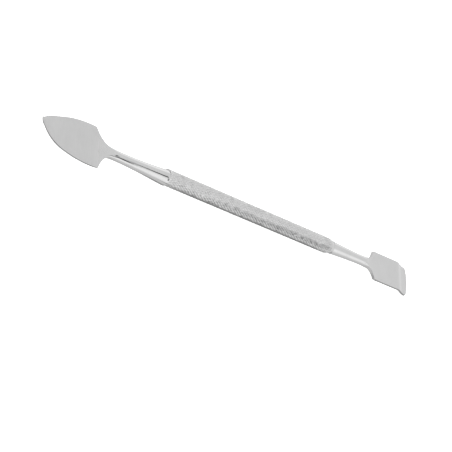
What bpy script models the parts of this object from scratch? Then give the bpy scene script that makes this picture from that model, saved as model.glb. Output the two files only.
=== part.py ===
"""Double-ended clay modeling tool: knurled steel handle, leaf blade, lipped spatula blade.

Frame: metres, +Z up. +X runs along the tool from the leaf to the spatula, and both blades lie
flat, parallel to XY. The origin is under the middle of the tool, on the surface it lies on.
Stations along the tool are distances from the leaf's tip.
"""
import math

import bmesh
import bpy

MM = 0.001

# Whole tool
TOOL_LENGTH = 200.3 * MM
TIP_X = -100.1 * MM
LIP_X = TIP_X + TOOL_LENGTH
JOINT_GAP = 0.3 * MM

# Handle tube: round, tapering at its far end
HANDLE_RADIUS = 3.175 * MM
HANDLE_BORE_RADIUS = 2.10 * MM
HANDLE_START = 61.34 * MM
HANDLE_END = 149.40 * MM
HANDLE_CHAMFER = 0.12 * MM

# Soft shoulder: it starts on the tube's far end and runs out on the spatula's neck
SHOULDER_START = 147.96 * MM
SHOULDER_LENGTH = 3.0 * MM
SHOULDER_END_RADIUS = 2.50 * MM

# Leaf blade: two circular arcs meet at the tip, and the half by the tip curls up
LEAF_LENGTH = 28.9 * MM
LEAF_HALF_WIDTH = 8.25 * MM
LEAF_WIDEST = 25.2 * MM
LEAF_THICKNESS = 0.60 * MM
LEAF_TIP_HALF_WIDTH = 0.6 * MM
LEAF_CURL_REACH = 12.0 * MM
LEAF_CURL_RADIUS = 21.2 * MM
LEAF_SHOULDER_LENGTH = 7.4 * MM
LEAF_SHOULDER_POWER = 2.7
LEAF_FLAT_FADE = 10.0 * MM

# Neck of the leaf: slender behind the blade, flaring towards the handle
LEAF_NECK_RADIUS = 1.97 * MM
LEAF_NECK_END_RADIUS = 3.15 * MM
LEAF_NECK_POWER = 1.7

# Spatula blade: parallel sides, a convex end and a lip that bends down and levels out again
SPATULA_LENGTH = 24.0 * MM
SPATULA_HALF_WIDTH = 6.2 * MM
SPATULA_THICKNESS = 0.92 * MM
SPATULA_ROOT_THICKNESS = 1.3 * MM
SPATULA_ROOT_LENGTH = 2.6 * MM
SPATULA_CORNER_RADIUS = 1.1 * MM
SPATULA_END_RADIUS = 18.0 * MM
SPATULA_END_REACH = 5.0 * MM
SPATULA_SHOULDER_LENGTH = 3.9 * MM
SPATULA_SHOULDER_POWER = 2.5
SPATULA_FLAT_FADE = 7.5 * MM
LIP_BEND_RADIUS = 6.0 * MM
LIP_ANGLE = math.radians(27.0)
LIP_RETURN_RADIUS = 16.9 * MM
LIP_END_ANGLE = math.radians(4.0)

# Neck of the spatula: thinnest near the blade
SPATULA_NECK_RADIUS = 1.97 * MM
SPATULA_NECK_END_RADIUS = 2.50 * MM
SPATULA_NECK_TAPER = 15.5 * MM
SPATULA_NECK_POWER = 1.5

# Tangs inside the handle, and the sleeves of brazing metal around them
TANG_RADIUS = 1.10 * MM
TANG_CHAMFER = 0.3 * MM
LEAF_TANG_LENGTH = 18.0 * MM
SPATULA_TANG_LENGTH = 16.0 * MM
BRAZE_LENGTH = 12.0 * MM
BRAZE_SETBACK = 2.0 * MM

# Finishes
STEEL_COLOUR = (0.66, 0.66, 0.66)
STEEL_ROUGHNESS = 0.22
KNURL_COLOUR = (0.60, 0.60, 0.60)
KNURL_ROUGHNESS = 0.35
BRAZE_COLOUR = (0.66, 0.60, 0.42)
BRAZE_ROUGHNESS = 0.40

# Fineness of the solids
ROUND_SIDES = 64
BRAZE_SIDES = 32
SHOULDER_STEPS = 8
SECTION_POINTS = 28
CORNER_SHARE = 0.5
EDGE_ROUNDING = 0.22 * MM
SMOOTH_ANGLE = math.radians(35.0)

AXIS_HEIGHT = HANDLE_RADIUS


def clear_scene():
    for obj in list(bpy.data.objects):
        bpy.data.objects.remove(obj, do_unlink=True)


def material(name, colour, roughness):
    made = bpy.data.materials.new(name)
    made.use_nodes = True
    shader = made.node_tree.nodes["Principled BSDF"]
    shader.inputs["Base Color"].default_value = (*colour, 1.0)
    shader.inputs["Roughness"].default_value = roughness
    shader.inputs["Metallic"].default_value = 1.0
    return made


def add_object(name, mesh_data, finish):
    """Makes one node from a bmesh, smooth except at real edges."""
    if mesh_data.calc_volume(signed=True) < 0.0:
        bmesh.ops.reverse_faces(mesh_data, faces=mesh_data.faces)
    mesh = bpy.data.meshes.new(name)
    mesh_data.to_mesh(mesh)
    mesh_data.free()
    mesh.materials.append(finish)
    mesh.shade_smooth()
    mesh.set_sharp_from_angle(angle=SMOOTH_ANGLE)
    obj = bpy.data.objects.new(name, mesh)
    obj.location.z = AXIS_HEIGHT
    bpy.context.scene.collection.objects.link(obj)
    return obj


def bridge(mesh_data, ring, following):
    count = len(ring)
    for i in range(count):
        j = (i + 1) % count
        mesh_data.faces.new((ring[i], ring[j], following[j], following[i]))


def loft(name, sections, finish):
    """A closed solid through rings of equally many points, with a flat face at both ends."""
    mesh_data = bmesh.new()
    rings = [[mesh_data.verts.new(point) for point in section] for section in sections]
    for ring, following in zip(rings, rings[1:]):
        bridge(mesh_data, ring, following)
    mesh_data.faces.new(rings[0][::-1])
    mesh_data.faces.new(rings[-1])
    return add_object(name, mesh_data, finish)


def turn(name, profile, sides, finish):
    """A hollow solid of revolution about the tool's axis from a closed (x, radius) outline."""
    mesh_data = bmesh.new()
    rings = []
    for x, radius in profile:
        angles = [math.tau * i / sides for i in range(sides)]
        points = [(x, radius * math.cos(a), radius * math.sin(a)) for a in angles]
        rings.append([mesh_data.verts.new(point) for point in points])
    for ring, following in zip(rings, rings[1:] + rings[:1]):
        bridge(mesh_data, ring, following)
    return add_object(name, mesh_data, finish)


def smooth_step(value):
    value = min(max(value, 0.0), 1.0)
    return value * value * (3.0 - 2.0 * value)


def blend(first, last, share):
    return first + (last - first) * share


def quarter_point(share, half_width, half_height, rounding):
    """A point on one quarter of a rounded rectangle, from its side's middle to its top's middle."""
    side = half_height - rounding
    top = half_width - rounding
    arc = rounding * math.pi / 2.0
    arc_share = max(CORNER_SHARE, arc / (side + top + arc))
    side_share = 0.0
    if side + top > 0.0:
        side_share = (1.0 - arc_share) * side / (side + top)
    top_share = 1.0 - arc_share - side_share
    if share < side_share:
        return half_width, side * share / side_share
    if share <= side_share + arc_share:
        angle = (share - side_share) / arc_share * math.pi / 2.0
        return top + rounding * math.cos(angle), side + rounding * math.sin(angle)
    return top * (1.0 - share) / top_share, half_height


def section_outline(half_width, half_height, rounding):
    """Points round a section, evenly shared between its quarters. It is a circle when all are equal."""
    per_quarter = SECTION_POINTS // 4
    outline = []
    for i in range(SECTION_POINTS):
        quarter, step = divmod(i, per_quarter)
        share = step / per_quarter
        if quarter % 2:
            share = 1.0 - share
        y, z = quarter_point(share, half_width, half_height, rounding)
        outline.append((-y if quarter in (1, 2) else y, -z if quarter in (2, 3) else z))
    return outline


def leaf_half_width(along):
    """Outline of the leaf and of its hollow shoulders, down to the neck."""
    if along <= LEAF_LENGTH:
        radius = (LEAF_WIDEST**2 + LEAF_HALF_WIDTH**2) / (2.0 * LEAF_HALF_WIDTH)
        arc = math.sqrt(radius**2 - (LEAF_WIDEST - along) ** 2) - (radius - LEAF_HALF_WIDTH)
        return max(arc, LEAF_TIP_HALF_WIDTH)
    left = max(1.0 - (along - LEAF_LENGTH) / LEAF_SHOULDER_LENGTH, 0.0)
    corner = leaf_half_width(LEAF_LENGTH)
    return blend(leaf_neck_radius(along), corner, left**LEAF_SHOULDER_POWER)


def leaf_neck_end():
    """Distance along the leaf's centre line at which its neck ends, just short of the handle."""
    curled = LEAF_CURL_RADIUS * math.asin(LEAF_CURL_REACH / LEAF_CURL_RADIUS)
    return HANDLE_START - JOINT_GAP + curled - LEAF_CURL_REACH


def leaf_neck_radius(along):
    start = LEAF_LENGTH + LEAF_FLAT_FADE
    flare = max((along - start) / (leaf_neck_end() - start), 0.0)
    return blend(LEAF_NECK_RADIUS, LEAF_NECK_END_RADIUS, flare**LEAF_NECK_POWER)


def leaf_section(along):
    """The leaf's section where it is flat, its neck's where it is round, and the change between."""
    fade = smooth_step((along - LEAF_LENGTH) / LEAF_FLAT_FADE)
    half_width = leaf_half_width(along)
    half_height = blend(LEAF_THICKNESS / 2.0, leaf_neck_radius(along), fade)
    rounding = blend(EDGE_ROUNDING, half_height, fade)
    return section_outline(half_width, half_height, rounding)


def leaf_spine(along):
    """Centre line of the leaf end: x, z and the upward slope, with the tip curled up on an arc."""
    curl = math.asin(LEAF_CURL_REACH / LEAF_CURL_RADIUS)
    slope = max(curl - along / LEAF_CURL_RADIUS, 0.0)
    straight = max(along - curl * LEAF_CURL_RADIUS, 0.0)
    x = TIP_X + LEAF_CURL_REACH - LEAF_CURL_RADIUS * math.sin(slope) + straight
    return x, LEAF_CURL_RADIUS * (1.0 - math.cos(slope)), slope


def stations(*stretches):
    """Distances along a blade. Each stretch is (end, steps), and they follow on from 0."""
    made = [0.0]
    for end, steps in stretches:
        start = made[-1]
        made += [blend(start, end, step / steps) for step in range(1, steps + 1)]
    return made


def leaf_stations():
    """Distances from the tip, close together where the outline turns quickly."""
    return stations(
        (LEAF_TIP_HALF_WIDTH, 1),
        (LEAF_CURL_RADIUS * math.asin(LEAF_CURL_REACH / LEAF_CURL_RADIUS), 9),
        (LEAF_LENGTH, 6),
        (LEAF_LENGTH + LEAF_FLAT_FADE, 12),
        (leaf_neck_end(), 7),
    )


def placed(outline, x, z, slope, reach_back=None):
    """Stands a section's outline across the centre line. The slope tips its upper side to +X."""
    points = []
    for y, height in outline:
        back = reach_back(y) if reach_back else 0.0
        px = x + height * math.sin(slope) - back * math.cos(slope)
        points.append((px, y, z + height * math.cos(slope) + back * math.sin(slope)))
    return points


def round_section(x, radius):
    return placed(section_outline(radius, radius, radius), x, 0.0, 0.0)


def tang_rings(shoulder_x, end_x):
    """The round tang, from the neck's flat shoulder to its chamfered end."""
    chamfer = math.copysign(TANG_CHAMFER, shoulder_x - end_x)
    rings = []
    for x, radius in (
        (shoulder_x, TANG_RADIUS),
        (end_x + chamfer, TANG_RADIUS),
        (end_x, TANG_RADIUS - TANG_CHAMFER),
    ):
        rings.append(round_section(x, radius))
    return rings


def make_leaf_blade(finish):
    sections = [placed(leaf_section(along), *leaf_spine(along)) for along in leaf_stations()]
    shoulder_x = TIP_X + HANDLE_START - JOINT_GAP
    sections += tang_rings(shoulder_x, shoulder_x + LEAF_TANG_LENGTH)
    return loft("leaf_blade", sections, finish)


def spatula_neck_radius(along):
    """Radius of the spatula's neck at a distance from the end of the lip."""
    thinnest = SPATULA_LENGTH + SPATULA_FLAT_FADE
    flare = max((along - thinnest) / SPATULA_NECK_TAPER, 0.0)
    return blend(SPATULA_NECK_RADIUS, SPATULA_NECK_END_RADIUS, flare**SPATULA_NECK_POWER)


def spatula_half_width(along):
    """Outline of the spatula: rounded end corners, parallel sides, hollow shoulders."""
    if along < SPATULA_CORNER_RADIUS:
        rise = math.sqrt(SPATULA_CORNER_RADIUS**2 - (SPATULA_CORNER_RADIUS - along) ** 2)
        return SPATULA_HALF_WIDTH - SPATULA_CORNER_RADIUS + rise
    left = 1.0 - max(along - SPATULA_LENGTH, 0.0) / SPATULA_SHOULDER_LENGTH
    share = max(left, 0.0) ** SPATULA_SHOULDER_POWER
    return blend(SPATULA_NECK_RADIUS, SPATULA_HALF_WIDTH, share)


def spatula_section(along):
    """The spatula's section: flat blade, thicker root at the shoulders, round neck."""
    root = smooth_step((along - SPATULA_LENGTH + SPATULA_ROOT_LENGTH) / SPATULA_ROOT_LENGTH)
    fade = smooth_step((along - SPATULA_LENGTH) / SPATULA_FLAT_FADE)
    thickness = blend(SPATULA_THICKNESS, SPATULA_ROOT_THICKNESS, root)
    radius = spatula_neck_radius(along)
    half_width = max(spatula_half_width(along), radius)
    half_height = blend(thickness / 2.0, radius, fade)
    rounding = blend(EDGE_ROUNDING, half_height, fade)
    return section_outline(half_width, half_height, rounding)


def lip_length():
    """Length of the lip's returning arc, from the end of the blade to the bend."""
    return LIP_RETURN_RADIUS * (LIP_ANGLE - LIP_END_ANGLE)


def spatula_spine(along):
    """Centre line of the spatula end: x, z and the downward slope, over the lip, bend and blade."""
    lip = lip_length()
    bend = LIP_BEND_RADIUS * LIP_ANGLE
    bend_x = LIP_X - LIP_RETURN_RADIUS * (math.sin(LIP_ANGLE) - math.sin(LIP_END_ANGLE))
    bend_z = -LIP_BEND_RADIUS * (1.0 - math.cos(LIP_ANGLE))
    if along < lip:
        slope = LIP_END_ANGLE + along / LIP_RETURN_RADIUS
        x = bend_x + LIP_RETURN_RADIUS * (math.sin(LIP_ANGLE) - math.sin(slope))
        return x, bend_z - LIP_RETURN_RADIUS * (math.cos(slope) - math.cos(LIP_ANGLE)), slope
    slope = max(LIP_ANGLE - (along - lip) / LIP_BEND_RADIUS, 0.0)
    straight = max(along - lip - bend, 0.0)
    x = bend_x - LIP_BEND_RADIUS * (math.sin(LIP_ANGLE) - math.sin(slope)) - straight
    return x, -LIP_BEND_RADIUS * (1.0 - math.cos(slope)), slope


def shoulder_radius(x):
    """The soft shoulder between the handle's full radius and the end of the spatula's neck."""
    share = (x - TIP_X - SHOULDER_START) / SHOULDER_LENGTH
    return blend(HANDLE_RADIUS, SHOULDER_END_RADIUS, smooth_step(share))


def spatula_stations():
    """Distances from the end of the lip to the start of the handle's soft shoulder."""
    bend_end = lip_length() + LIP_BEND_RADIUS * LIP_ANGLE
    neck_end = bend_end + spatula_spine(bend_end)[0] - (TIP_X + SHOULDER_START + SHOULDER_LENGTH)
    return stations(
        (SPATULA_CORNER_RADIUS, 4),
        (lip_length(), 4),
        (bend_end, 4),
        (SPATULA_LENGTH - SPATULA_ROOT_LENGTH, 3),
        (SPATULA_LENGTH, 3),
        (SPATULA_LENGTH + SPATULA_FLAT_FADE, 11),
        (neck_end, 6),
    )


def make_spatula_blade(finish):
    sections = []
    for along in spatula_stations():
        share = max(1.0 - along / SPATULA_END_REACH, 0.0) / (2.0 * SPATULA_END_RADIUS)
        place = spatula_spine(along)
        sections.append(placed(spatula_section(along), *place, lambda y: share * y * y))
    shoulder_x = TIP_X + HANDLE_END + JOINT_GAP
    shoulder_end = TIP_X + SHOULDER_START + SHOULDER_LENGTH
    for step in range(1, SHOULDER_STEPS // 2 + 1):
        x = blend(shoulder_end, shoulder_x, step / (SHOULDER_STEPS // 2))
        sections.append(round_section(x, shoulder_radius(x)))
    sections += tang_rings(shoulder_x, shoulder_x - SPATULA_TANG_LENGTH)
    return loft("spatula_blade", sections, finish)


def make_handle_tube(finish):
    """The grip tube with its through bore, the soft shoulder begun at the spatula end."""
    start = TIP_X + HANDLE_START
    end = TIP_X + HANDLE_END
    taper_start = TIP_X + SHOULDER_START
    profile = [
        (start, HANDLE_BORE_RADIUS),
        (start, HANDLE_RADIUS - HANDLE_CHAMFER),
        (start + HANDLE_CHAMFER, HANDLE_RADIUS),
    ]
    for step in range(SHOULDER_STEPS + 1):
        x = blend(taper_start, end, step / SHOULDER_STEPS)
        profile.append((x, shoulder_radius(x)))
    profile.append((end, HANDLE_BORE_RADIUS))
    return turn("handle_tube", profile, ROUND_SIDES, finish)


def make_braze(name, mouth_x, inward, finish):
    """A sleeve of brazing metal between a tang and the bore. Inward is +1 or -1 along X."""
    near = mouth_x + inward * BRAZE_SETBACK
    far = near + inward * BRAZE_LENGTH
    inner = TANG_RADIUS + JOINT_GAP
    outer = HANDLE_BORE_RADIUS - JOINT_GAP
    return turn(name, [(near, inner), (near, outer), (far, outer), (far, inner)], BRAZE_SIDES, finish)


def main():
    clear_scene()
    steel = material("polished_steel", STEEL_COLOUR, STEEL_ROUGHNESS)
    grip = material("knurled_steel", KNURL_COLOUR, KNURL_ROUGHNESS)
    braze = material("silver_braze", BRAZE_COLOUR, BRAZE_ROUGHNESS)
    make_leaf_blade(steel)
    make_handle_tube(grip)
    make_spatula_blade(steel)
    make_braze("leaf_braze", TIP_X + HANDLE_START, 1.0, braze)
    make_braze("spatula_braze", TIP_X + HANDLE_END, -1.0, braze)


main()
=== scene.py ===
import math

import bpy
from mathutils import Matrix, Vector
from mathutils.noise import noise as rough_value


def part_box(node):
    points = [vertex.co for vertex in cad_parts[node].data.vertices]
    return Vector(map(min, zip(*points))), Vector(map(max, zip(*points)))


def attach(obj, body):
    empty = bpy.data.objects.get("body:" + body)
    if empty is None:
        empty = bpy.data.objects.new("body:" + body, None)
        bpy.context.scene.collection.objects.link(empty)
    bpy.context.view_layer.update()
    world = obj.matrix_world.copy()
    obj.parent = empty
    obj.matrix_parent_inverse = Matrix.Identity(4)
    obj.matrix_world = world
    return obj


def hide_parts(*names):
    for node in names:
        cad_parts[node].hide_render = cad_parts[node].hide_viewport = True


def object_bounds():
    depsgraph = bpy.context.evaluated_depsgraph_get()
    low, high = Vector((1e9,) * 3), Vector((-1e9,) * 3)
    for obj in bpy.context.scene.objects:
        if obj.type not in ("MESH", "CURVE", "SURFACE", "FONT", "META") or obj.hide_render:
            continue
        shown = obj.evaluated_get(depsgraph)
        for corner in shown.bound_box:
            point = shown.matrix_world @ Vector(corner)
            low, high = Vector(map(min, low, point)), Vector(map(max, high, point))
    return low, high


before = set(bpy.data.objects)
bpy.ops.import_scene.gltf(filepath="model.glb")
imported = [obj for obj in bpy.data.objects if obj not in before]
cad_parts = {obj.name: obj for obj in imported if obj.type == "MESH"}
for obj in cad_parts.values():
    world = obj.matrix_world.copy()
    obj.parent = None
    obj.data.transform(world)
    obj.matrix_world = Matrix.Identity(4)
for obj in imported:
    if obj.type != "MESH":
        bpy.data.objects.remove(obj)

CAD_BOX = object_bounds()

MM = 0.001

# Places read from the frame
LEAF_LOW, LEAF_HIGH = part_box("leaf_blade")
HANDLE_LOW, HANDLE_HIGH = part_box("handle_tube")
SPATULA_LOW, SPATULA_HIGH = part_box("spatula_blade")
HANDLE_START = HANDLE_LOW.x
HANDLE_END = HANDLE_HIGH.x
HANDLE_RADIUS = (HANDLE_HIGH.z - HANDLE_LOW.z) / 2.0
AXIS_HEIGHT = (HANDLE_HIGH.z + HANDLE_LOW.z) / 2.0
LEAF_HALF_WIDTH = LEAF_HIGH.y - 0.10 * MM
SPATULA_HALF_WIDTH = SPATULA_HIGH.y
TIP_X = LEAF_LOW.x + 0.20 * MM
LIP_X = SPATULA_HIGH.x - 0.07 * MM

# The leaf's neck stands a little to one side, and a hairline seam parts each neck from the handle
NECK_OFFSET = 0.42 * MM
SEAM = 0.005 * MM

# Leaf blade and its neck, as distances along the blade from the tip
LEAF_LENGTH = 28.85 * MM
LEAF_WIDEST = 25.4 * MM
LEAF_THICKNESS = 0.60 * MM
LEAF_TIP_THICKNESS = 0.30 * MM
LEAF_THINNING = 9.0 * MM
LEAF_YAW = 0.007
LEAF_SKEW = 0.052
LEAF_ASIDE = 0.05 * MM
LEAF_BULGE = 0.32 * MM
LEAF_BULGE_POWER = 0.8
LEAF_BULGE_REACH = 13.0 * MM
LEAF_EDGE_ROUNDING = 0.10 * MM
LEAF_ROUNDING_LIMIT = 0.9
LEAF_TIP_RADIUS = 1.60 * MM
LEAF_TIP_BLUNTNESS = 0.6
LEAF_TIP_START = 0.02 * MM
LEAF_TIP_FINE = 3.0 * MM
LEAF_CURL_REACH = 12.0 * MM
LEAF_CURL_RADIUS = 21.2 * MM
LEAF_SHOULDER_LENGTH = 7.4 * MM
LEAF_SHOULDER_POWER = 2.7
LEAF_CORNER_BEFORE = 0.02 * MM
LEAF_CORNER_AFTER = 0.4 * MM
LEAF_FLAT_FADE = 10.0 * MM
LEAF_NECK_RADIUS = 1.97 * MM
LEAF_NECK_END_RADIUS = 3.06 * MM
LEAF_NECK_POWER = 1.7
LEAF_NECK_SETTLE = 32.0 * MM
LEAF_COLLAR_LENGTH = 1.5 * MM
LEAF_COLLAR_SLOPE = 0.085
LEAF_COLLAR_STEPS = 10

# Spatula blade and its neck, as distances along the blade from the end of the lip
SPATULA_LENGTH = 24.0 * MM
SPATULA_THICKNESS = 0.92 * MM
SPATULA_ROOT_THICKNESS = 1.3 * MM
SPATULA_ROOT_LENGTH = 2.6 * MM
SPATULA_EASED_LENGTH = 1.6 * MM
SPATULA_EASED_WIDTH = 0.25 * MM
SPATULA_EDGE_ROUNDING = 0.10 * MM
SPATULA_CORNER_RADIUS = 0.85 * MM
SPATULA_END_RADIUS = 18.0 * MM
SPATULA_END_SKEW = 0.035
SPATULA_ASIDE = 0.07 * MM
SPATULA_END_REACH = 5.0 * MM
SPATULA_SHOULDER_LENGTH = 3.9 * MM
SPATULA_SHOULDER_POWER = 2.5
SPATULA_FLAT_FADE = 7.5 * MM
LIP_BEND_RADIUS = 6.0 * MM
LIP_ANGLE = math.radians(27.0)
LIP_RETURN_RADIUS = 16.9 * MM
LIP_END_ANGLE = math.radians(4.0)
SPATULA_NECK_RADIUS = 1.97 * MM
SPATULA_NECK_END_RADIUS = 2.50 * MM
SPATULA_NECK_TAPER = 15.5 * MM
SPATULA_NECK_POWER = 1.5

# Handle: knurled cylinder with a short nose towards the spatula
BORE_RADIUS = 2.10 * MM
NOSE_START = HANDLE_END - 1.44 * MM
NOSE_LENGTH = 3.0 * MM
NOSE_RADIUS = 2.50 * MM
NOSE_STEPS = 12
RIM_CHAMFER = 0.04 * MM
RIM_CHAMFER_LENGTH = 0.15 * MM
KNURL_STARTS = 20
KNURL_LEAD_ANGLE = math.radians(30.0)
KNURL_DEPTH = 0.18 * MM
KNURL_WEAR = 0.55
WEAR_SIZE = 1.6 * MM
DENT_DEPTH = 0.06 * MM
KNURL_GROOVE_SHARE = 0.85
KNURL_STEPS = 8
KNURL_MARGIN = 0.1 * MM
KNURL_FADE = 0.5 * MM
KNURL_NOSE_FADE = 2.0 * MM
# How dark the plain rims and the nose are made, growing towards the spatula end
RIM_DARKENING = 0.6

# Tangs inside the handle
TANG_RADIUS = 1.10 * MM
LEAF_TANG_LENGTH = 18.0 * MM
SPATULA_TANG_LENGTH = 16.0 * MM

# Finish of the blades, darker towards the leaf, with painted shade on the sheared sides and a painted
# highlight at the spatula's bend: distances from the tool's middle, from a shoulder outwards, and from
# the spatula's bend, each as the place where it starts and where it is full
SATIN = (64.0 * MM, 76.0 * MM)
LEAF_DARKENING = 0.03
LEAF_DARKENING_REACH = 65.0 * MM
LEAF_SIDES = (0.32 * MM, 1.02 * MM)
SPATULA_SIDES = (0.24 * MM, 1.04 * MM)
SIDE_FACING = (0.4, 0.7)
SIDE_SHADE = 0.22
GLINT_BEFORE_BEND = (1.67 * MM, 0.07 * MM)
GLINT_AFTER_BEND = (2.33 * MM, 0.63 * MM)
GLINT_RISE = 0.034
BLADE_LEVEL = 0.50

# Finish of the grip, with a painted band of light and shade along its flank. The flank is a way out from
# the handle's axis, with the cosines from it at which its band starts and is full, and places along the
# handle with what the band adds there: painted light near the leaf, painted shade towards the spatula
CREST_LEVEL = 0.552
GROOVE_LEVEL = 0.41
FLANK = (0.0, -0.78, 0.63)
FLANK_BAND = (0.93, 0.985)
FLANK_LIT = (HANDLE_START + 2.76 * MM, 0.08)
FLANK_SHADED = (HANDLE_END - 21.3 * MM, -0.12)

# Fineness of the visual meshes
SECTION_POINTS = 72
CORNER_SHARE = 0.5
SMOOTH_ANGLE = math.radians(40.0)

# Light: direction, degrees to where it is full and to where it ends, and how much it adds
SOFT_PATCHES = (
    ((0.52, 0.81, 0.26), 5.0, 25.0, 0.38),
    ((0.55, -0.70, 0.42), 8.0, 34.0, 0.42),
    ((-0.77, -0.11, -0.64), 8.0, 25.0, -0.60),
    ((0.50, -0.05, -0.86), 10.0, 40.0, -0.25),
    ((-0.50, 0.58, -0.64), 10.0, 28.0, 0.20),
)
WORLD_LOW_LEVEL = 1.0
WORLD_LEVEL = 1.17
WORLD_FADE_HEIGHT = -0.4

# The dark gap between two soft boxes: a band square to its axis, with the sines of the angles off it
# at which it is full and ends, then the patch where it is dark and the patch where it is paler
GAP_AXIS = (-0.823, -0.406, 0.396)
GAP_FULL = math.sin(math.radians(1.56))
GAP_END = math.sin(math.radians(3.12))
GAP_MIDDLE = ((0.54, -0.34, 0.77), 22.0, 30.0, 0.95)
GAP_PALE = ((0.54, -0.35, 0.765), 4.0, 9.5, -0.58)

# Shadow beneath the handle, seen only by the steel: a broad strip, and a narrow one that starts
# beneath the neck. Each line is an axis, the place where the shadow ends, and the place where it is full
BROAD_SHADE = (
    ("X", HANDLE_START + 4.0 * MM, HANDLE_START + 14.0 * MM),
    ("X", HANDLE_END + 3.5 * MM, HANDLE_END - 0.5 * MM),
    ("Y", -34.0 * MM, -20.0 * MM),
    ("Y", 6.5 * MM, 4.0 * MM),
)
NARROW_SHADE = (
    ("X", HANDLE_START - 12.0 * MM, HANDLE_START - 3.0 * MM),
    ("X", HANDLE_END + 3.5 * MM, HANDLE_END - 0.5 * MM),
    ("Y", -6.0 * MM, -3.0 * MM),
    ("Y", 6.5 * MM, 4.0 * MM),
)
SHADE_LEVEL = 0.34

# Table, with the shadow strip and the table's top just clear of the tool and of each other
SHADE_DROP = 0.01 * MM
FLOOR_DROP = 0.02 * MM
FLOOR_HALF_WIDTH = 3.0
FLOOR_LEVEL = 0.80
FLOOR_GLOW = 0.85

# Camera
CAMERA_AIM = Vector((-7.49, -9.61, 3.10)) * MM
CAMERA_DISTANCE = 701.8 * MM
CAMERA_AZIMUTH = math.radians(-57.2)
CAMERA_ELEVATION = math.radians(39.6)
CAMERA_ROLL = math.radians(67.22)
CAMERA_LENS = 150.3
CAMERA_SENSOR = 36.0
CAMERA_CLIP = (0.01, 20.0)


def blend(first, last, share):
    return first + (last - first) * share


def smooth_step(value):
    value = min(max(value, 0.0), 1.0)
    return value * value * (3.0 - 2.0 * value)


# ---------------------------------------------------------------- materials


def node(tree, kind, **settings):
    made = tree.nodes.new(kind)
    for name, value in settings.items():
        setattr(made, name, value)
    return made


def put(tree, target, value):
    """Links a socket, or sets a plain value, on the target socket."""
    if isinstance(value, bpy.types.NodeSocket):
        tree.links.new(value, target)
    else:
        target.default_value = value


def math_node(tree, operation, first, second=0.0):
    made = node(tree, "ShaderNodeMath", operation=operation)
    put(tree, made.inputs[0], first)
    put(tree, made.inputs[1], second)
    return made.outputs[0]


def noise(tree, vector, scale, detail=3.0, stretch=(1.0, 1.0, 1.0)):
    """Noise on the piece's own coordinates. Scale is in cells per metre, stretch squeezes each axis."""
    mapping = node(tree, "ShaderNodeMapping")
    put(tree, mapping.inputs["Vector"], vector)
    mapping.inputs["Scale"].default_value = stretch
    made = node(tree, "ShaderNodeTexNoise")
    put(tree, made.inputs["Vector"], mapping.outputs["Vector"])
    made.inputs["Scale"].default_value = scale
    made.inputs["Detail"].default_value = detail
    return made.outputs["Fac"]


def remap(tree, value, from_low, from_high, to_low, to_high, kind="LINEAR"):
    made = node(tree, "ShaderNodeMapRange", interpolation_type=kind)
    put(tree, made.inputs["Value"], value)
    made.inputs["From Min"].default_value = from_low
    made.inputs["From Max"].default_value = from_high
    made.inputs["To Min"].default_value = to_low
    made.inputs["To Max"].default_value = to_high
    return made.outputs["Result"]


def toward(tree, direction, way):
    """Cosine of the angle between a direction and a fixed way."""
    made = node(tree, "ShaderNodeVectorMath", operation="DOT_PRODUCT")
    put(tree, made.inputs[0], direction)
    made.inputs[1].default_value = Vector(way).normalized()
    return made.outputs["Value"]


def new_material(name):
    made = bpy.data.materials.new(name)
    made.use_nodes = True
    tree = made.node_tree
    shader = tree.nodes["Principled BSDF"]
    shader.inputs["Metallic"].default_value = 1.0
    place = node(tree, "ShaderNodeTexCoord").outputs["Object"]
    return made, tree, shader, place


def grey(tree, value):
    """A neutral colour from a grey level."""
    made = node(tree, "ShaderNodeCombineColor")
    for channel in range(3):
        put(tree, made.inputs[channel], value)
    return made.outputs[0]


def bump(tree, shader, height, strength, distance):
    made = node(tree, "ShaderNodeBump")
    made.inputs["Strength"].default_value = strength
    made.inputs["Distance"].default_value = distance
    put(tree, made.inputs["Height"], height)
    put(tree, shader.inputs["Normal"], made.outputs["Normal"])


def painted_side_shade(tree, x):
    """Where the blades get painted shade: their sheared sideways faces, outside the two shoulders."""
    facing = node(tree, "ShaderNodeSeparateXYZ")
    put(tree, facing.inputs[0], node(tree, "ShaderNodeNewGeometry").outputs["Normal"])
    sideways = math_node(tree, "ABSOLUTE", facing.outputs["Y"])
    leaf_x = leaf_spine(LEAF_LENGTH)[0]
    spatula_x = spatula_spine(SPATULA_LENGTH)[0]
    leaf_start, leaf_full = LEAF_SIDES
    spatula_start, spatula_full = SPATULA_SIDES
    on_leaf = remap(tree, x, leaf_x - leaf_full, leaf_x - leaf_start, 1.0, 0.0)
    on_spatula = remap(tree, x, spatula_x + spatula_start, spatula_x + spatula_full, 0.0, 1.0)
    blades = math_node(tree, "ADD", on_leaf, on_spatula)
    return math_node(tree, "MULTIPLY", remap(tree, sideways, *SIDE_FACING, 0.0, 1.0), blades)


def painted_bend_glint(tree, x):
    """A painted highlight: a brighter line in the colour across the spatula where its lip bends down."""
    bend_x = lip_bend_x()
    rise_start, rise_end = [bend_x - away for away in GLINT_BEFORE_BEND]
    fall_end, fall_start = [bend_x + away for away in GLINT_AFTER_BEND]
    rise = remap(tree, x, rise_start, rise_end, 0.0, GLINT_RISE, "SMOOTHSTEP")
    fall = remap(tree, x, fall_start, fall_end, 1.0, 0.0, "SMOOTHSTEP")
    return math_node(tree, "MULTIPLY", rise, fall)


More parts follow.
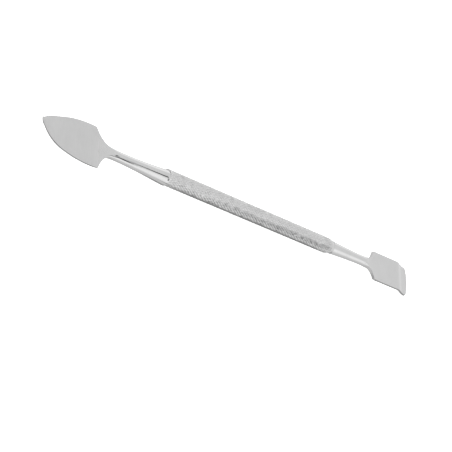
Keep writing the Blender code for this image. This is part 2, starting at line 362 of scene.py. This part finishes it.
def blade_steel():
    """Stainless steel: satin on the flat blades and polished on the necks. The flat blades darken a
    little towards the leaf, the sheared sideways faces carry painted shade, and the spatula's bend a
    painted highlight.
    """
    made, tree, shader, place = new_material("polished_steel")
    split = node(tree, "ShaderNodeSeparateXYZ")
    put(tree, split.inputs[0], place)
    x = split.outputs["X"]
    blade = remap(tree, math_node(tree, "ABSOLUTE", x), *SATIN, 0.0, 1.0, "SMOOTHSTEP")
    cloud = noise(tree, place, 160.0, 4.0)
    grain = noise(tree, place, 2200.0, 2.0, (1.0, 0.15, 1.0))
    # The flat blades' colour grows a little darker towards the leaf end
    leaf_darkening = remap(tree, x, -LEAF_DARKENING_REACH, LEAF_DARKENING_REACH, LEAF_DARKENING, 0.0)
    # Painted shade on the blades' sheared sideways faces
    side_shading = math_node(tree, "MULTIPLY", painted_side_shade(tree, x), SIDE_SHADE)
    level = math_node(tree, "SUBTRACT", BLADE_LEVEL, math_node(tree, "MULTIPLY", blade, leaf_darkening))
    level = math_node(tree, "SUBTRACT", level, side_shading)
    # Painted highlight across the spatula's bend
    level = math_node(tree, "ADD", level, painted_bend_glint(tree, x))
    level = math_node(tree, "ADD", level, remap(tree, cloud, 0.3, 0.7, -0.012, 0.012))
    level = math_node(tree, "ADD", level, remap(tree, grain, 0.3, 0.7, -0.008, 0.008))
    put(tree, shader.inputs["Base Color"], grey(tree, level))
    satin = math_node(tree, "MULTIPLY", blade, 0.30)
    rough = math_node(tree, "ADD", satin, remap(tree, cloud, 0.3, 0.7, 0.05, 0.08))
    put(tree, shader.inputs["Roughness"], rough)
    bump(tree, shader, grain, 0.25, 0.02 * MM)
    return made


def painted_flank_shading(tree, place):
    """A streaky band of painted light and shade along the grip's flank: painted light at the leaf,
    painted shade towards the spatula.
    """
    from_axis = node(tree, "ShaderNodeMapping")
    from_axis.inputs["Location"].default_value = (0.0, 0.0, -AXIS_HEIGHT)
    from_axis.inputs["Scale"].default_value = (0.0, 1.0, 1.0)
    put(tree, from_axis.inputs["Vector"], place)
    outward = node(tree, "ShaderNodeVectorMath", operation="NORMALIZE")
    put(tree, outward.inputs[0], from_axis.outputs["Vector"])
    cosine = toward(tree, outward.outputs[0], FLANK)
    band = remap(tree, cosine, *FLANK_BAND, 0.0, 1.0, "SMOOTHSTEP")
    split = node(tree, "ShaderNodeSeparateXYZ")
    put(tree, split.inputs[0], place)
    lit_x, lit_gain = FLANK_LIT
    shaded_x, shaded_loss = FLANK_SHADED
    along = remap(tree, split.outputs["X"], lit_x, shaded_x, lit_gain, shaded_loss)
    streaks = remap(tree, noise(tree, place, 1900.0, 2.0, (0.45, 1.0, 1.0)), 0.38, 0.62, 0.3, 1.5)
    return math_node(tree, "MULTIPLY", math_node(tree, "MULTIPLY", band, streaks), along)


def knurled_steel():
    """The grip: satin crests, and grooves darkened in colour, partly as clay dust and partly as painted
    shade in the recesses; the nose is darker too, and a band of painted light and shade runs along the
    flank.
    """
    made, tree, shader, place = new_material("knurled_steel")
    groove_darkening = node(tree, "ShaderNodeAttribute", attribute_name="groove").outputs["Fac"]
    cloud = noise(tree, place, 450.0, 4.0)
    grain = noise(tree, place, 3000.0, 2.0)
    # Darker grooves: partly clay dust, partly painted shade
    dust_and_shade = math_node(tree, "MULTIPLY", groove_darkening, remap(tree, cloud, 0.35, 0.65, 0.55, 1.0))
    level = remap(tree, dust_and_shade, 0.0, 1.0, CREST_LEVEL, GROOVE_LEVEL)
    level = math_node(tree, "ADD", level, remap(tree, grain, 0.3, 0.7, -0.03, 0.03))
    # Painted light and shade along the grip's flank
    level = math_node(tree, "ADD", level, painted_flank_shading(tree, place))
    put(tree, shader.inputs["Base Color"], grey(tree, level))
    rough = remap(tree, dust_and_shade, 0.0, 1.0, 0.26, 0.36)
    rough = math_node(tree, "ADD", rough, remap(tree, grain, 0.3, 0.7, -0.04, 0.04))
    put(tree, shader.inputs["Roughness"], rough)
    bump(tree, shader, grain, 0.3, 0.02 * MM)
    return made


def silver_braze():
    """Cast filler metal inside the handle."""
    made, tree, shader, place = new_material("silver_braze")
    cloud = noise(tree, place, 900.0, 4.0)
    ramp = node(tree, "ShaderNodeValToRGB")
    ramp.color_ramp.elements[0].color = (0.45, 0.40, 0.26, 1.0)
    ramp.color_ramp.elements[1].color = (0.72, 0.66, 0.48, 1.0)
    put(tree, ramp.inputs["Fac"], cloud)
    put(tree, shader.inputs["Base Color"], ramp.outputs["Color"])
    put(tree, shader.inputs["Roughness"], remap(tree, cloud, 0.3, 0.7, 0.35, 0.55))
    bump(tree, shader, cloud, 0.5, 0.05 * MM)
    return made


def floor_white():
    """A pale translucent table, lit a little from below so that shadows stay soft."""
    made = bpy.data.materials.new("floor_white")
    made.use_nodes = True
    shader = made.node_tree.nodes["Principled BSDF"]
    shader.inputs["Base Color"].default_value = (FLOOR_LEVEL, FLOOR_LEVEL, FLOOR_LEVEL, 1.0)
    shader.inputs["Roughness"].default_value = 0.9
    shader.inputs["Specular IOR Level"].default_value = 0.0
    shader.inputs["Emission Color"].default_value = (1.0, 1.0, 1.0, 1.0)
    shader.inputs["Emission Strength"].default_value = FLOOR_GLOW
    return made


# ---------------------------------------------------------------- mesh helpers


def add_piece(name, points, faces, finish):
    mesh = bpy.data.meshes.new(name)
    mesh.from_pydata(points, [], faces)
    mesh.validate()
    mesh.materials.append(finish)
    mesh.shade_smooth()
    mesh.set_sharp_from_angle(angle=SMOOTH_ANGLE)
    obj = bpy.data.objects.new(name, mesh)
    bpy.context.scene.collection.objects.link(obj)
    return obj


def band_faces(first, second, count, turned):
    """Quads between two rings of vertices that start at these indices."""
    faces = []
    for i in range(count):
        j = (i + 1) % count
        quad = (first + i, first + j, second + j, second + i)
        faces.append(quad[::-1] if turned else quad)
    return faces


def loft(name, rings, finish, turned):
    """A closed skin through rings of equally many points, with a flat cap at both ends."""
    count = len(rings[0])
    points = [point for ring in rings for point in ring]
    faces = []
    for row in range(len(rings) - 1):
        faces += band_faces(row * count, (row + 1) * count, count, turned)
    first = tuple(range(count))
    last = tuple(range(len(points) - count, len(points)))
    faces.append(first if turned else first[::-1])
    faces.append(last[::-1] if turned else last)
    return add_piece(name, points, faces, finish)


def quarter_point(share, half_width, half_height, rounding):
    """A point on one quarter of a rounded rectangle, from its side's middle to its top's middle."""
    side = half_height - rounding
    top = half_width - rounding
    arc = rounding * math.pi / 2.0
    arc_share = max(CORNER_SHARE, arc / (side + top + arc))
    side_share = 0.0
    if side + top > 0.0:
        side_share = (1.0 - arc_share) * side / (side + top)
    top_share = 1.0 - arc_share - side_share
    if share < side_share:
        return half_width, side * share / side_share
    if share <= side_share + arc_share:
        angle = (share - side_share) / arc_share * math.pi / 2.0
        return top + rounding * math.cos(angle), side + rounding * math.sin(angle)
    return top * (1.0 - share) / top_share, half_height


def section_outline(half_width, half_height, rounding):
    """Points round a section, evenly shared between its quarters. It is a circle when all are equal."""
    per_quarter = SECTION_POINTS // 4
    outline = []
    for i in range(SECTION_POINTS):
        quarter, step = divmod(i, per_quarter)
        share = step / per_quarter
        if quarter % 2:
            share = 1.0 - share
        y, z = quarter_point(share, half_width, half_height, rounding)
        outline.append((-y if quarter in (1, 2) else y, -z if quarter in (2, 3) else z))
    return outline


def placed(outline, x, z, slope, reach_back=None):
    """Stands a section's outline across the centre line. The slope tips its upper side to +X."""
    points = []
    for y, height in outline:
        back = reach_back(y) if reach_back else 0.0
        px = x + height * math.sin(slope) - back * math.cos(slope)
        pz = z + height * math.cos(slope) + back * math.sin(slope)
        points.append((px, y, pz + AXIS_HEIGHT))
    return points


def round_ring(x, radius, sideways=0.0):
    ring = placed(section_outline(radius, radius, radius), x, 0.0, 0.0)
    return [(px, py + sideways, pz) for px, py, pz in ring]


def stations(*stretches):
    """Distances along a blade. Each stretch is (end, steps), and they follow on from 0."""
    made = [0.0]
    for end, steps in stretches:
        start = made[-1]
        made += [blend(start, end, step / steps) for step in range(1, steps + 1)]
    return made


# ---------------------------------------------------------------- leaf end


def leaf_half_width(along):
    """Outline of the leaf, rounded at its tip, and of its hollow shoulders down to the neck."""
    if along <= LEAF_LENGTH:
        radius = (LEAF_WIDEST**2 + LEAF_HALF_WIDTH**2) / (2.0 * LEAF_HALF_WIDTH)
        arc = math.sqrt(radius**2 - (LEAF_WIDEST - along) ** 2) - (radius - LEAF_HALF_WIDTH)
        if along < LEAF_TIP_RADIUS:
            round_tip = math.sqrt(LEAF_TIP_RADIUS**2 - (LEAF_TIP_RADIUS - along) ** 2)
            return max(blend(arc, round_tip, LEAF_TIP_BLUNTNESS), LEAF_TIP_START)
        return max(arc, blend(arc, LEAF_TIP_RADIUS, LEAF_TIP_BLUNTNESS))
    left = max(1.0 - (along - LEAF_LENGTH) / LEAF_SHOULDER_LENGTH, 0.0)
    corner = leaf_half_width(LEAF_LENGTH)
    return blend(leaf_neck_radius(along), corner, left**LEAF_SHOULDER_POWER)


def leaf_neck_radius(along):
    start = LEAF_LENGTH + LEAF_FLAT_FADE
    flare = max((along - start) / (leaf_neck_end() - start), 0.0)
    return blend(LEAF_NECK_RADIUS, LEAF_NECK_END_RADIUS, flare**LEAF_NECK_POWER)


def leaf_neck_end():
    """Distance along the blade's centre line at which the neck meets the handle."""
    curled = LEAF_CURL_RADIUS * math.asin(LEAF_CURL_REACH / LEAF_CURL_RADIUS)
    return HANDLE_START - SEAM - TIP_X + curled - LEAF_CURL_REACH


def leaf_section(along):
    fade = smooth_step((along - LEAF_LENGTH) / LEAF_FLAT_FADE)
    half_width = leaf_half_width(along)
    half_height = blend(LEAF_THICKNESS / 2.0, leaf_neck_radius(along), fade)
    half_height = blend(LEAF_TIP_THICKNESS / 2.0, half_height, min(along / LEAF_THINNING, 1.0))
    flat_rounding = min(LEAF_EDGE_ROUNDING, LEAF_ROUNDING_LIMIT * half_width, half_height)
    rounding = blend(flat_rounding, half_height, fade)
    return section_outline(half_width, half_height, rounding)


def leaf_spine(along):
    """Centre line of the leaf end: x, z and the upward slope, with the tip curled up on an arc."""
    curl = math.asin(LEAF_CURL_REACH / LEAF_CURL_RADIUS)
    slope = max(curl - along / LEAF_CURL_RADIUS, 0.0)
    straight = max(along - curl * LEAF_CURL_RADIUS, 0.0)
    x = TIP_X + LEAF_CURL_REACH - LEAF_CURL_RADIUS * math.sin(slope) + straight
    return x, LEAF_CURL_RADIUS * (1.0 - math.cos(slope)), slope


def askew(ring, along):
    """The leaf stands a little askew on its neck, and bulges a little at the tip's far side."""
    share = 1.0 - smooth_step((along - LEAF_LENGTH) / LEAF_FLAT_FADE)
    aside = share * (LEAF_ASIDE + LEAF_YAW * (leaf_spine(along)[0] - leaf_spine(LEAF_LENGTH)[0]))
    hump = math.sin(math.pi * min(along / LEAF_BULGE_REACH, 1.0) ** LEAF_BULGE_POWER) ** 2
    stretch = 1.0 + LEAF_BULGE * hump / leaf_half_width(along)
    return [(x - share * LEAF_SKEW * y, max(y, y * stretch) + aside, z) for x, y, z in ring]


def collar_rings(start, end, radius):
    """The neck's end rolls over softly before it meets the handle."""
    rings = []
    for step in range(1, LEAF_COLLAR_STEPS + 1):
        share = step / LEAF_COLLAR_STEPS
        swell = LEAF_COLLAR_SLOPE * LEAF_COLLAR_LENGTH * (share - 0.5 * share**2)
        rings.append(round_ring(blend(start, end, share), radius + swell, -NECK_OFFSET))
    return rings


def make_leaf(finish):
    end = leaf_neck_end()
    stops = stations(
        (LEAF_TIP_RADIUS, 8),
        (LEAF_TIP_FINE, 10),
        (LEAF_THINNING, 16),
        (LEAF_BULGE_REACH, 12),
        (LEAF_LENGTH - LEAF_CORNER_BEFORE, 24),
        (LEAF_LENGTH + LEAF_CORNER_AFTER, 4),
        (LEAF_LENGTH + LEAF_FLAT_FADE, 40),
        (end - LEAF_COLLAR_LENGTH, 40),
    )
    rings = []
    for along in stops:
        aside = NECK_OFFSET * smooth_step((along - LEAF_LENGTH) / LEAF_NECK_SETTLE)
        ring = askew(placed(leaf_section(along), *leaf_spine(along)), along)
        rings.append([(x, y - aside, z) for x, y, z in ring])
    neck_x = HANDLE_START - SEAM
    collar_radius = leaf_neck_radius(end - LEAF_COLLAR_LENGTH)
    rings += collar_rings(neck_x - LEAF_COLLAR_LENGTH, neck_x, collar_radius)
    rings.append(round_ring(neck_x, TANG_RADIUS))
    rings.append(round_ring(neck_x + LEAF_TANG_LENGTH, TANG_RADIUS))
    return loft("leaf_forging", rings, finish, turned=False)


# ---------------------------------------------------------------- spatula end


def spatula_neck_radius(along):
    thinnest = SPATULA_LENGTH + SPATULA_FLAT_FADE
    flare = max((along - thinnest) / SPATULA_NECK_TAPER, 0.0)
    return blend(SPATULA_NECK_RADIUS, SPATULA_NECK_END_RADIUS, flare**SPATULA_NECK_POWER)


def spatula_half_width(along):
    """Outline of the spatula: rounded end corners, parallel sides, hollow shoulders."""
    if along < SPATULA_CORNER_RADIUS:
        rise = math.sqrt(SPATULA_CORNER_RADIUS**2 - (SPATULA_CORNER_RADIUS - along) ** 2)
        return SPATULA_HALF_WIDTH - SPATULA_CORNER_RADIUS + rise
    left = 1.0 - max(along - SPATULA_LENGTH, 0.0) / SPATULA_SHOULDER_LENGTH
    share = max(left, 0.0) ** SPATULA_SHOULDER_POWER
    eased = min(max(1.0 - (SPATULA_LENGTH - along) / SPATULA_EASED_LENGTH, 0.0), 1.0)
    corner = SPATULA_HALF_WIDTH - SPATULA_EASED_WIDTH * eased**2
    return blend(SPATULA_NECK_RADIUS, corner, share)


def spatula_section(along):
    """The spatula's section: flat blade, thicker root at the shoulders, round neck."""
    root = smooth_step((along - SPATULA_LENGTH + SPATULA_ROOT_LENGTH) / SPATULA_ROOT_LENGTH)
    fade = smooth_step((along - SPATULA_LENGTH) / SPATULA_FLAT_FADE)
    thickness = blend(SPATULA_THICKNESS, SPATULA_ROOT_THICKNESS, root)
    radius = spatula_neck_radius(along)
    half_width = max(spatula_half_width(along), radius)
    half_height = blend(thickness / 2.0, radius, fade)
    rounding = blend(SPATULA_EDGE_ROUNDING, half_height, fade)
    return section_outline(half_width, half_height, rounding)


def lip_length():
    """Length of the lip's returning arc, from the end of the blade to the bend."""
    return LIP_RETURN_RADIUS * (LIP_ANGLE - LIP_END_ANGLE)


def lip_bend_x():
    """Where the lip's returning arc meets the bend."""
    return LIP_X - LIP_RETURN_RADIUS * (math.sin(LIP_ANGLE) - math.sin(LIP_END_ANGLE))


def spatula_spine(along):
    """Centre line of the spatula end: x, z and the downward slope. The lip dips and levels out again."""
    lip = lip_length()
    bend = LIP_BEND_RADIUS * LIP_ANGLE
    bend_x = lip_bend_x()
    bend_z = -LIP_BEND_RADIUS * (1.0 - math.cos(LIP_ANGLE))
    if along < lip:
        slope = LIP_END_ANGLE + along / LIP_RETURN_RADIUS
        x = bend_x + LIP_RETURN_RADIUS * (math.sin(LIP_ANGLE) - math.sin(slope))
        return x, bend_z - LIP_RETURN_RADIUS * (math.cos(slope) - math.cos(LIP_ANGLE)), slope
    slope = max(LIP_ANGLE - (along - lip) / LIP_BEND_RADIUS, 0.0)
    straight = max(along - lip - bend, 0.0)
    x = bend_x - LIP_BEND_RADIUS * (math.sin(LIP_ANGLE) - math.sin(slope)) - straight
    return x, -LIP_BEND_RADIUS * (1.0 - math.cos(slope)), slope


def end_edge(along):
    """The spatula's end edge, as how far back it lies at each place across the blade."""
    share = max(1.0 - along / SPATULA_END_REACH, 0.0)

    def back(y):
        return share * (y * y / (2.0 * SPATULA_END_RADIUS) - SPATULA_END_SKEW * y)

    return back


def make_spatula(finish):
    bend_end = lip_length() + LIP_BEND_RADIUS * LIP_ANGLE
    neck_x = HANDLE_END + SEAM
    along_end = bend_end + spatula_spine(bend_end)[0] - (NOSE_START + NOSE_LENGTH)
    stops = stations(
        (SPATULA_CORNER_RADIUS, 10),
        (lip_length(), 14),
        (bend_end, 16),
        (SPATULA_LENGTH - SPATULA_ROOT_LENGTH, 10),
        (SPATULA_LENGTH, 12),
        (SPATULA_LENGTH + SPATULA_FLAT_FADE, 40),
        (along_end, 30),
    )
    rings = []
    for along in stops:
        aside = SPATULA_ASIDE * (1.0 - smooth_step((along - SPATULA_LENGTH) / SPATULA_FLAT_FADE))
        ring = placed(spatula_section(along), *spatula_spine(along), end_edge(along))
        rings.append([(x, y - aside, z) for x, y, z in ring])
    for step in range(1, NOSE_STEPS + 1):
        x = blend(NOSE_START + NOSE_LENGTH, neck_x, step / NOSE_STEPS)
        rings.append(round_ring(x, nose_radius(x)))
    rings.append(round_ring(neck_x, TANG_RADIUS))
    rings.append(round_ring(neck_x - SPATULA_TANG_LENGTH, TANG_RADIUS))
    return loft("spatula_forging", rings, finish, turned=True)


# ---------------------------------------------------------------- handle


def groove(turn):
    """How far into a groove a place is, from 0 on a crest to 1 on the groove's line."""
    from_line = abs((turn + 0.5) % 1.0 - 0.5) * 2.0
    return max(0.0, 1.0 - from_line / KNURL_GROOVE_SHARE)


def nose_radius(x):
    """The long soft shoulder from the handle down to the spatula's neck."""
    return blend(HANDLE_RADIUS, NOSE_RADIUS, smooth_step((x - NOSE_START) / NOSE_LENGTH))


def outer_radius(x):
    """Smooth outer radius of the grip, before knurling."""
    from_start = (x - HANDLE_START) / RIM_CHAMFER_LENGTH
    return nose_radius(x) - RIM_CHAMFER * (1.0 - min(from_start, 1.0))


def knurl_share(x):
    """Full knurling between the ends, fading out before the plain rim and the nose."""
    rise = smooth_step((x - HANDLE_START - KNURL_MARGIN) / KNURL_FADE)
    fall = smooth_step((HANDLE_END - KNURL_MARGIN - x) / KNURL_NOSE_FADE)
    return rise * fall


def make_handle(finish):
    around = KNURL_STARTS * KNURL_STEPS
    pitch = math.tau * HANDLE_RADIUS / KNURL_STARTS / math.tan(KNURL_LEAD_ANGLE)
    rows = round((HANDLE_END - HANDLE_START) / pitch * KNURL_STEPS)
    points = []
    dust_and_shade = []
    for row in range(rows + 1):
        x = blend(HANDLE_START, HANDLE_END, row / rows)
        share = knurl_share(x)
        base = outer_radius(x)
        for i in range(around):
            left = groove((i + row) / KNURL_STEPS)
            right = groove((i - row) / KNURL_STEPS)
            angle = math.tau * i / around
            spot = Vector((x, HANDLE_RADIUS * math.cos(angle), HANDLE_RADIUS * math.sin(angle)))
            wear = rough_value(spot / WEAR_SIZE)
            depth = max(left, right) * (1.0 + KNURL_WEAR * wear)
            # The grooves' darkening, partly clay dust and partly painted shade, and a plain darkening of
            # the rims that grows towards the spatula end
            dust_and_shade.append(blend(RIM_DARKENING * row / rows, depth, share))
            dent = DENT_DEPTH * max(rough_value(spot / (2.0 * WEAR_SIZE)), 0.0)
            radius = base - share * (KNURL_DEPTH * depth + dent)
            points.append((x, radius * math.cos(angle), AXIS_HEIGHT + radius * math.sin(angle)))
    faces = []
    for row in range(rows):
        for i in range(around):
            j = (i + 1) % around
            a = row * around + i
            b = row * around + j
            c = (row + 1) * around + j
            d = (row + 1) * around + i
            # A quad that a left-hand groove's line crosses is split along that line
            if (i + row + 1) % KNURL_STEPS == 0:
                faces += [(a, b, d), (b, c, d)]
            else:
                faces += [(a, b, c), (a, c, d)]
    first = 0
    last = rows * around
    for x in (HANDLE_END, HANDLE_START):
        ring = [math.tau * i / around for i in range(around)]
        points += [
            (x, BORE_RADIUS * math.cos(a), AXIS_HEIGHT + BORE_RADIUS * math.sin(a)) for a in ring
        ]
    bore_end = (rows + 1) * around
    bore_start = bore_end + around
    faces += band_faces(last, bore_end, around, False)
    faces += band_faces(bore_end, bore_start, around, False)
    faces += band_faces(bore_start, first, around, False)
    grip = add_piece("knurled_grip", points, faces, finish)
    dust_and_shade += [RIM_DARKENING] * around + [0.0] * around
    grip.data.attributes.new("groove", "FLOAT", "POINT").data.foreach_set("value", dust_and_shade)
    return grip


# ---------------------------------------------------------------- studio


def make_camera():
    data = bpy.data.cameras.new("camera")
    data.lens = CAMERA_LENS
    data.sensor_width = CAMERA_SENSOR
    data.clip_start, data.clip_end = CAMERA_CLIP
    camera = bpy.data.objects.new("camera", data)
    bpy.context.scene.collection.objects.link(camera)
    back = Vector(
        (
            math.sin(CAMERA_AZIMUTH) * math.cos(CAMERA_ELEVATION),
            -math.cos(CAMERA_AZIMUTH) * math.cos(CAMERA_ELEVATION),
            math.sin(CAMERA_ELEVATION),
        )
    )
    turn = back.to_track_quat("Z", "Y").to_matrix() @ Matrix.Rotation(CAMERA_ROLL, 3, "Z")
    camera.matrix_world = Matrix.Translation(CAMERA_AIM + back * CAMERA_DISTANCE) @ turn.to_4x4()
    bpy.context.scene.camera = camera


def lobe(tree, direction, way, inner, outer, strength):
    """A soft patch of light, or of shade where the strength is negative, in one direction."""
    low = math.cos(math.radians(outer))
    high = math.cos(math.radians(inner))
    return remap(tree, toward(tree, direction, way), low, high, 0.0, strength, "SMOOTHSTEP")


def make_world():
    """Soft light all round, brighter above, with its soft patches and the dark gap between two boxes."""
    world = bpy.data.worlds.new("studio")
    bpy.context.scene.world = world
    world.use_nodes = True
    tree = world.node_tree
    direction = node(tree, "ShaderNodeTexCoord").outputs["Generated"]
    split = node(tree, "ShaderNodeSeparateXYZ")
    put(tree, split.inputs[0], direction)
    height = split.outputs["Z"]
    level = remap(tree, height, WORLD_FADE_HEIGHT, 0.0, WORLD_LOW_LEVEL, WORLD_LEVEL, "SMOOTHSTEP")
    for patch in SOFT_PATCHES:
        level = math_node(tree, "ADD", level, lobe(tree, direction, *patch))
    off_line = math_node(tree, "ABSOLUTE", toward(tree, direction, GAP_AXIS))
    gap = remap(tree, off_line, GAP_FULL, GAP_END, 1.0, 0.0, "SMOOTHSTEP")
    dark = lobe(tree, direction, *GAP_MIDDLE)
    reach = math_node(tree, "ADD", dark, lobe(tree, direction, *GAP_PALE))
    gap = math_node(tree, "MULTIPLY", gap, reach)
    level = math_node(tree, "MULTIPLY", level, math_node(tree, "SUBTRACT", 1.0, gap))
    put(tree, tree.nodes["Background"].inputs["Color"], grey(tree, level))


def strip_cover(tree, place, fades):
    """How fully a strip covers a place: 1 along its middle and 0 outside its rim."""
    cover = 1.0
    for axis, rim, full in fades:
        rise = remap(tree, place.outputs[axis], rim, full, 0.0, 1.0, "SMOOTHSTEP")
        cover = math_node(tree, "MULTIPLY", cover, rise)
    return cover


def shade_paint():
    """Dark along the middle of the strips and clear towards their rims."""
    made = bpy.data.materials.new("contact_shade")
    made.use_nodes = True
    tree = made.node_tree
    split = node(tree, "ShaderNodeSeparateXYZ")
    put(tree, split.inputs[0], node(tree, "ShaderNodeTexCoord").outputs["Object"])
    broad = strip_cover(tree, split, BROAD_SHADE)
    cover = math_node(tree, "MAXIMUM", broad, strip_cover(tree, split, NARROW_SHADE))
    glow = node(tree, "ShaderNodeEmission")
    glow.inputs["Color"].default_value = (SHADE_LEVEL, SHADE_LEVEL, SHADE_LEVEL, 1.0)
    mix = node(tree, "ShaderNodeMixShader")
    put(tree, mix.inputs[0], cover)
    put(tree, mix.inputs[1], node(tree, "ShaderNodeBsdfTransparent").outputs[0])
    put(tree, mix.inputs[2], glow.outputs[0])
    put(tree, tree.nodes["Material Output"].inputs["Surface"], mix.outputs[0])
    return made


def flat_sheet(name, rims, drop, finish):
    """A level rectangle beneath the tool. Its rims are low x, high x, low y and high y."""
    low, high, front, rear = rims
    corners = [(low, front, 0.0), (high, front, 0.0), (high, rear, 0.0), (low, rear, 0.0)]
    mesh = bpy.data.meshes.new(name)
    mesh.from_pydata(corners, [], [(0, 1, 2, 3)])
    mesh.materials.append(finish)
    obj = bpy.data.objects.new(name, mesh)
    obj.location.z = CAD_BOX[0].z - drop
    bpy.context.scene.collection.objects.link(obj)
    return obj


def make_contact_shade():
    """What the steel sees of the table beneath the handle: the dark strip of its own shadow."""
    rims = [rim for axis, rim, full in BROAD_SHADE]
    rims[0] = NARROW_SHADE[0][1]
    obj = flat_sheet("contact_shade", rims, SHADE_DROP, shade_paint())
    obj.visible_camera = False
    obj.visible_diffuse = False
    obj.visible_shadow = False


def make_floor():
    """The pale table. The steel doesn't mirror it: the light from below stands in for it there."""
    half = FLOOR_HALF_WIDTH
    obj = flat_sheet("floor", (-half, half, -half, half), FLOOR_DROP, floor_white())
    obj.visible_glossy = False


def main():
    steel = blade_steel()
    for make, name in ((make_leaf, "leaf_blade"), (make_spatula, "spatula_blade")):
        piece = make(steel)
        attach(piece, "root")
        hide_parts(name)
    grip = make_handle(knurled_steel())
    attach(grip, "root")
    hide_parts("handle_tube")
    braze = silver_braze()
    for name in ("leaf_braze", "spatula_braze"):
        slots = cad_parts[name].data.materials
        slots.clear()
        slots.append(braze)
    make_camera()
    make_world()
    make_floor()
    make_contact_shade()
    bpy.context.scene.view_settings.view_transform = "Standard"


main()
